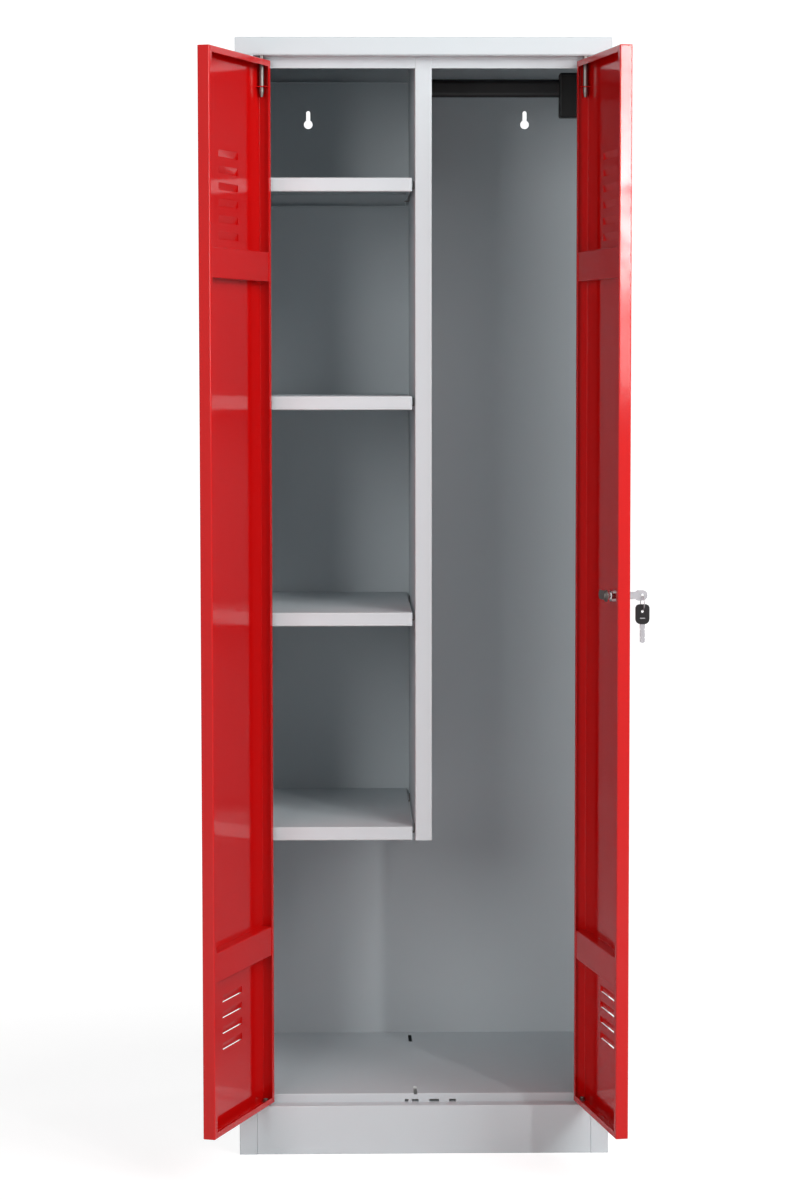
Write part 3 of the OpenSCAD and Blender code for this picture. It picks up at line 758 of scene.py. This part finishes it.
        marks = bench.add("GeometryNodeInstanceOnPoints")
        bench.link(steps.outputs["Curve"], marks.inputs["Points"])
        bench.link(dished.outputs["Geometry"], marks.inputs["Instance"])
        bench.link(turned.outputs["Rotation"], marks.inputs["Rotation"])
        real = bench.add("GeometryNodeRealizeInstances")
        bench.link(marks.outputs["Instances"], real.inputs["Geometry"])
        painted = bench.add("GeometryNodeSetMaterial")
        bench.link(real.outputs["Geometry"], painted.inputs["Geometry"])
        bench.link(enter.outputs["Paint"], painted.inputs["Material"])
        bench.link(painted.outputs["Geometry"], leave.inputs["Geometry"])
        return tree

    def build(self, name: str, rows: Sequence[WeldRow], step: float, tree: bpy.types.NodeTree,
              paint: bpy.types.Material, slot: Slot, body: Body) -> bpy.types.Object:
        """Makes the marks of one body as one plain mesh.

        Args:
            name: Name of the piece.
            rows: Its rows.
            step: Distance between two marks.
            tree: The tree that sets the marks.
            paint: The paint over the marks.
            slot: The record's slot of that paint; not used.
            body: The body that the marks are on.

        Returns:
            The new object.
        """
        guide = bpy.data.meshes.new(name + "_rows")
        ends = [end for row in rows for end in (row.start, row.end)]
        guide.from_pydata(ends, [(2 * i, 2 * i + 1) for i in range(len(rows))], [])
        facing = guide.attributes.new("facing", "FLOAT_VECTOR", "POINT")
        for i, row in enumerate(rows):
            facing.data[2 * i].vector = row.facing
            facing.data[2 * i + 1].vector = row.facing
        carrier = bpy.data.objects.new(name + "_rows", guide)
        bpy.context.scene.collection.objects.link(carrier)
        modifier = carrier.modifiers.new("marks", "NODES")
        modifier.node_group = tree
        values = {"Step": step, "Radius": self.radius, "Rim": self.rim, "Rise": self.rise,
                  "Dip": self.dip, "Paint": paint}
        for item in tree.interface.items_tree:
            if item.in_out == "INPUT" and item.name in values:
                modifier[item.identifier] = values[item.name]
        ready = carrier.evaluated_get(bpy.context.evaluated_depsgraph_get())
        mesh = bpy.data.meshes.new_from_object(ready)
        mesh.name = name
        bpy.data.objects.remove(carrier)
        return plain_piece(name, mesh, paint, body)


def tube(points: Sequence[Vector], axis: Vector, radius: float, sides: int) -> bmesh.types.BMesh:
    """Sweeps a round section along a path that winds about an axis.

    Args:
        points: Points of the path.
        axis: The axis, of length 1.
        radius: Radius of the section.
        sides: Sides of the section.

    Returns:
        The closed tube.
    """
    shape = bmesh.new()
    rings = []
    for i, point in enumerate(points):
        ahead = (points[min(i + 1, len(points) - 1)] - points[max(i - 1, 0)]).normalized()
        out = ahead.cross(axis).normalized()
        up = out.cross(ahead).normalized()
        angles = (2.0 * math.pi * k / sides for k in range(sides))
        spokes = [math.cos(a) * out + math.sin(a) * up for a in angles]
        rings.append([shape.verts.new(point + radius * spoke) for spoke in spokes])
    for near, far in zip(rings, rings[1:]):
        for k in range(sides):
            after = (k + 1) % sides
            shape.faces.new((near[k], near[after], far[after], far[k]))
    shape.faces.new(rings[0])
    shape.faces.new(rings[-1])
    bmesh.ops.recalc_face_normals(shape, faces=shape.faces)
    return shape


@dataclass(frozen=True)
class SplitRing:
    """The spring-steel ring that joins the two keys: two flat turns of wire, side by side.

    Attributes:
        radius: Radius of a turn to the wire's middle.
        wire: Radius of the wire.
        sides: Sides of the wire's section.
        steps: Points of one turn.
        short: Points by which the wire stays short of two full turns.
        start: Angle at which the wire starts.
        crossing: Share of a turn in which the wire steps over to the second turn.
    """

    radius: float = 0.011
    wire: float = 0.0004
    sides: int = 10
    steps: int = 60
    short: int = 3
    start: float = -0.6
    crossing: float = 0.12

    def build(self, paint: bpy.types.Material) -> bpy.types.Object:
        """Builds the ring in place of the plain one.

        Args:
            paint: The metal of the ring.

        Returns:
            The new object.
        """
        low, high = (Vector(corner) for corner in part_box("key_ring"))
        middle = (low + high) / 2
        axis = RIGHT_LEAF.inwards().normalized()
        up = Vector((0.0, 0.0, 1.0))
        side = up.cross(axis)
        points = []
        for i in range(2 * self.steps - self.short):
            turn = i / self.steps
            over = min(1.0, max(0.0, (turn - 1.0 + self.crossing / 2) / self.crossing))
            shift = (2.0 * (3.0 - 2.0 * over) * over * over - 1.0) * self.wire
            angle = 2.0 * math.pi * turn + self.start
            spoke = math.cos(angle) * side + math.sin(angle) * up
            points.append(middle + self.radius * spoke + shift * axis)
        shape = tube(points, axis, self.wire, self.sides)
        mesh = bpy.data.meshes.new("split_ring")
        shape.to_mesh(mesh)
        shape.free()
        mesh.shade_smooth()
        ring = plain_piece("split_ring", mesh, paint, Body.RING)
        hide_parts("key_ring")
        return ring


@dataclass(frozen=True)
class BarrelThread:
    """The thread on the round sides of the lock's barrel, behind the nut.

    Attributes:
        lock_in: Distance from the door's leading edge to the lock.
        height: Height of the lock above the floor.
        radius: Radius of the barrel.
        flat_half: Half the width across the barrel's flats.
        start: Depth at which the thread leaves the nut.
        end: Depth at which the barrel ends.
        pitch: Pitch of the thread.
        crest: Height of the thread over the barrel.
        root: Depth of the thread's foot under the barrel's face.
        foot_half: Half the width of its foot, in pitches.
        lead: Distance from the nut to the first turn, in pitches.
        spare: Turns that are left out at the barrel's end.
        flat_gap: Angle that stays free beside each flat.
        steps: Points along one side of a turn.
    """

    lock_in: float = 0.045
    height: float = 0.925
    radius: float = 0.009
    flat_half: float = 0.008
    start: float = 0.0056
    end: float = 0.0199
    pitch: float = 0.0015
    crest: float = 0.0003
    root: float = 0.0002
    foot_half: float = 0.45
    lead: float = 0.4
    spare: float = 0.75
    flat_gap: float = 0.02
    steps: int = 14

    def build(self, paint: bpy.types.Material) -> bpy.types.Object:
        """Builds the thread.

        Args:
            paint: The metal of the lock.

        Returns:
            The new object.
        """
        leaf = RIGHT_LEAF
        shape = bmesh.new()
        edge = math.acos(self.flat_half / self.radius) + self.flat_gap
        turns = int((self.end - self.start) / self.pitch - self.spare)
        corners = ((-self.foot_half, -self.root), (0.0, self.crest), (self.foot_half, -self.root))
        for half_turn in range(2 * turns):
            sections = []
            for i in range(self.steps + 1):
                angle = edge + (math.pi - 2.0 * edge) * i / self.steps + math.pi * half_turn
                deep = self.start + self.pitch * (self.lead + angle / (2.0 * math.pi))
                section = []
                for shift, out in corners:
                    reach = self.radius + out
                    along = leaf.width - self.lock_in + reach * math.cos(angle)
                    height = self.height + reach * math.sin(angle)
                    point = leaf.place(along, deep + shift * self.pitch, height)
                    section.append(shape.verts.new(point))
                sections.append(section)
            for near, far in zip(sections, sections[1:]):
                for k in range(len(corners)):
                    after = (k + 1) % len(corners)
                    shape.faces.new((near[k], near[after], far[after], far[k]))
            shape.faces.new(sections[0])
            shape.faces.new(sections[-1])
        bmesh.ops.recalc_face_normals(shape, faces=shape.faces)
        mesh = bpy.data.meshes.new("lock_barrel_thread")
        shape.to_mesh(mesh)
        shape.free()
        return plain_piece("lock_barrel_thread", mesh, paint, Body.RIGHT_LEAF)


def add_spot_welds(paints: dict[Slot, bpy.types.Material]) -> None:
    """Sets the spot welds on the body and on both doors.

    Args:
        paints: The material of each slot.
    """
    welds = SpotWelds()
    tree = welds.tree()
    welds.build("carcass_spot_welds", welds.carcass_rows(), welds.step, tree,
                paints[Slot.BODY_PAINT], Slot.BODY_PAINT, Body.CARCASS)
    for leaf in (LEFT_LEAF, RIGHT_LEAF):
        welds.build(leaf.body.value + "_spot_welds", welds.leaf_rows(leaf), 2.0 * welds.bar_half, tree,
                    paints[Slot.DOOR_PAINT], Slot.DOOR_PAINT, leaf.body)


@dataclass(frozen=True)
class Lamp:
    """One soft lamp of the studio.

    Attributes:
        name: Name of the lamp.
        place: Its middle.
        aim: The point that it faces.
        width: Its width in metres.
        height: Its height in metres.
        power: Its power in watts.
    """

    name: str
    place: Point
    aim: Point
    width: float
    height: float
    power: float

    def hang(self) -> bpy.types.Object:
        """Makes the lamp.

        Returns:
            The lamp's object.
        """
        light = bpy.data.lights.new(self.name, "AREA")
        light.shape = "RECTANGLE"
        light.size = self.width
        light.size_y = self.height
        light.energy = self.power
        lamp = bpy.data.objects.new(self.name, light)
        lamp.location = self.place
        away = Vector(self.aim) - Vector(self.place)
        lamp.rotation_euler = away.to_track_quat("-Z", "Y").to_euler()
        bpy.context.scene.collection.objects.link(lamp)
        return lamp


@dataclass
class Studio:
    """Floor, backdrop, light and camera of a plain product photograph.

    Attributes:
        eye: The camera's place.
        ahead: The direction that it looks in.
        tilt: Its roll in degrees.
        focal: Its focal length, for a frame as high as `film`.
        film: Height of the film in millimetres.
        ambient: Strength of the world's light on the object.
        floor_albedo: Grey of the floor for the light that it throws back.
        shadow_depth: Grey of the floor for the shadows that the camera sees.
        glow_near: Glow of the floor beside the object, where 1 is white.
        painted_shadow_under: Share of that glow that is left under the object, as a painted shadow on
            the floor beneath the locker.
        glow_reach: Distances between which the glow rises to white, in metres.
        body_middle: Depth of the middle of the locker's body.
        painted_shadow_x: Distances from the body's middle, along X, between which the painted shadow
            under the locker fades out.
        painted_shadow_y: The same along Y.
        sweep_half: Half the width of the floor.
        sweep_front: Front edge of the floor.
        sweep_back: Depth of the upright backdrop.
        sweep_radius: Radius of the bend from the floor to the backdrop.
        sweep_top: Height of the backdrop.
        sweep_steps: Steps of the bend.
        lamps: The soft lamps.
    """

    eye: Point = (-0.12874, -5.03075, 1.27622)
    ahead: Point = (0.018071, 0.997107, -0.073833)
    tilt: float = -0.057
    focal: float = 62.686
    film: float = 24.0
    ambient: float = 0.015
    floor_albedo: float = 0.86
    shadow_depth: float = 0.36
    glow_near: float = 0.80
    painted_shadow_under: float = 0.12
    glow_reach: tuple[float, float] = (0.9, 2.6)
    body_middle: float = 0.245
    painted_shadow_x: tuple[float, float] = (0.25, 0.29)
    painted_shadow_y: tuple[float, float] = (0.20, 0.24)
    sweep_half: float = 9.0
    sweep_front: float = -9.0
    sweep_back: float = 6.0
    sweep_radius: float = 2.0
    sweep_top: float = 8.0
    sweep_steps: int = 24
    lamps: tuple[Lamp, ...] = (
        Lamp("left_softbox", (-1.52, -3.50, 2.05), (0.0, 0.1, 1.0), 1.2, 1.8, 52.5),
        Lamp("right_softbox", (2.66, -2.66, 2.37), (0.0, 0.1, 1.0), 1.2, 1.2, 45.0),
        Lamp("side_softbox", (2.30, -1.00, 2.75), (-0.3, -0.15, 1.6), 1.2, 1.2, 19.5),
        Lamp("tall_strip", (1.87, -3.60, 2.30), (0.33, -0.25, 1.7), 0.08, 1.6, 27.0),
        Lamp("strip_foot", (1.87, -3.60, 1.36), (0.33, -0.25, 1.3), 0.08, 0.3, 1.15),
        Lamp("upper_softbox", (1.10, -1.90, 2.90), (0.0, 0.1, 1.2), 1.4, 1.4, 28.5),
        Lamp("back_left_softbox", (-2.80, 2.20, 1.45), (0.0, 0.3, 0.9), 1.4, 1.4, 34.0),
        Lamp("back_right_softbox", (2.80, 2.20, 1.45), (0.0, 0.3, 0.9), 1.4, 1.4, 26.0),
    )

    def set_camera(self) -> bpy.types.Object:
        """Places the camera of the photograph and makes it the scene's.

        Returns:
            The camera.
        """
        data = bpy.data.cameras.new("front_camera")
        data.sensor_fit = "VERTICAL"
        data.sensor_height = self.film
        data.lens = self.focal
        data.clip_end = 60.0
        camera = bpy.data.objects.new("front_camera", data)
        forward = Vector(self.ahead).normalized()
        right = forward.cross(Vector((0.0, 0.0, 1.0))).normalized()
        up = right.cross(forward)
        turn = Matrix((right, up, -forward)).transposed()
        camera.matrix_world = Matrix.Translation(self.eye) @ turn.to_4x4() @ Matrix.Rotation(
            math.radians(self.tilt), 4, "Z")
        bpy.context.scene.collection.objects.link(camera)
        bpy.context.scene.camera = camera
        return camera

    @staticmethod
    def seen_white(bench: NodeTree) -> bpy.types.NodeSocket:
        """Is 1 for rays that show the background: from the camera, by reflection or through glass."""
        path = bench.add("ShaderNodeLightPath")
        seen = bench.math("MAXIMUM", path.outputs["Is Camera Ray"], path.outputs["Is Glossy Ray"])
        return bench.math("MAXIMUM", seen, path.outputs["Is Transmission Ray"])

    def light_world(self) -> None:
        """Gives the world a plain grey light and a white look."""
        world = bpy.data.worlds.new("white_studio")
        world.use_nodes = True
        bpy.context.scene.world = world
        bench = NodeTree(world.node_tree)
        soft = bench.add("ShaderNodeBackground")
        soft.inputs["Strength"].default_value = self.ambient
        white = bench.add("ShaderNodeBackground")
        white.inputs["Color"].default_value = (1.0, 1.0, 1.0, 1.0)
        white.inputs["Strength"].default_value = 1.0
        mix = bench.add("ShaderNodeMixShader")
        bench.link(self.seen_white(bench), mix.inputs["Fac"])
        bench.link(soft.outputs[0], mix.inputs[1])
        bench.link(white.outputs[0], mix.inputs[2])
        output = bench.add("ShaderNodeOutputWorld")
        bench.link(mix.outputs[0], output.inputs["Surface"])

    def floor_paint(self) -> bpy.types.Material:
        """Makes the white of the floor and the backdrop, which still shows a faint rendered shadow, and
        dims the floor's glow under the locker as a painted shadow.

        Returns:
            The material.
        """
        material = bpy.data.materials.new("studio_white")
        material.use_nodes = True
        bench = NodeTree(material.node_tree)
        matt = bench.add("ShaderNodeBsdfDiffuse")
        matt.inputs["Color"].default_value = (*3 * (self.floor_albedo,), 1.0)
        shown = bench.add("ShaderNodeBsdfDiffuse")
        shown.inputs["Color"].default_value = (*3 * (self.shadow_depth,), 1.0)
        place = bench.add("ShaderNodeTexCoord").outputs["Object"]
        reach = bench.add("ShaderNodeVectorMath", operation="LENGTH")
        bench.link(place, reach.inputs[0])
        glow = bench.add("ShaderNodeEmission")
        near, far = self.glow_reach
        open_floor = bench.spread(reach.outputs["Value"], near, far, self.glow_near, 1.0)
        # Painted shadow: the floor's glow drops to a small share inside the locker's footprint, so the
        # floor under the locker looks shaded.
        apart = bench.add("ShaderNodeSeparateXYZ")
        bench.link(place, apart.inputs[0])
        beside = bench.math("ABSOLUTE", apart.outputs["X"])
        aside = bench.spread(beside, *self.painted_shadow_x, 1.0, 0.0)
        behind = bench.math("ABSOLUTE", bench.math("SUBTRACT", apart.outputs["Y"], self.body_middle))
        painted_shadow_mask = bench.math("MULTIPLY", aside, bench.spread(behind, *self.painted_shadow_y, 1.0, 0.0))
        shade = bench.spread(painted_shadow_mask, 0.0, 1.0, 1.0, self.painted_shadow_under)
        bench.link(bench.math("MULTIPLY", open_floor, shade), glow.inputs["Strength"])
        both = bench.add("ShaderNodeAddShader")
        bench.link(shown.outputs[0], both.inputs[0])
        bench.link(glow.outputs[0], both.inputs[1])
        mix = bench.add("ShaderNodeMixShader")
        bench.link(self.seen_white(bench), mix.inputs["Fac"])
        bench.link(matt.outputs[0], mix.inputs[1])
        bench.link(both.outputs[0], mix.inputs[2])
        output = bench.add("ShaderNodeOutputMaterial")
        bench.link(mix.outputs[0], output.inputs["Surface"])
        return material

    def build_sweep(self) -> bpy.types.Object:
        """Builds the floor that curves up into the backdrop.

        Returns:
            The sweep, marked as stage.
        """
        radius, bend_y = self.sweep_radius, self.sweep_back - self.sweep_radius
        angles = [math.pi / 2 * i / self.sweep_steps for i in range(1, self.sweep_steps + 1)]
        profile = [(self.sweep_front, 0.0), (bend_y, 0.0)]
        profile += [(bend_y + radius * math.sin(a), radius - radius * math.cos(a)) for a in angles]
        profile.append((self.sweep_back, self.sweep_top))
        points = [(x, y, z) for y, z in profile for x in (-self.sweep_half, self.sweep_half)]
        faces = [(2 * i, 2 * i + 1, 2 * i + 3, 2 * i + 2) for i in range(len(profile) - 1)]
        mesh = bpy.data.meshes.new("studio_sweep")
        mesh.from_pydata(points, [], faces)
        mesh.shade_smooth()
        mesh.materials.append(self.floor_paint())
        sweep = bpy.data.objects.new("studio_sweep", mesh)
        bpy.context.scene.collection.objects.link(sweep)
        return sweep

    def build(self) -> None:
        """Sets up the whole studio."""
        self.set_camera()
        self.light_world()
        self.build_sweep()
        for lamp in self.lamps:
            lamp.hang()
        view = bpy.context.scene.view_settings
        view.view_transform = "Standard"


def main() -> None:
    """Builds the locker's looks in order."""
    logging.basicConfig(level=logging.INFO, format="%(name)s: %(message)s")
    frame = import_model()
    paintshop = Paintshop()
    paints = paintshop.open()
    paintshop.coat(frame, paints)
    add_spot_welds(paints)
    SplitRing().build(paints[Slot.KEY])
    BarrelThread().build(paints[Slot.LOCK])
    Studio().build()


if __name__ == "__main__":
    main()
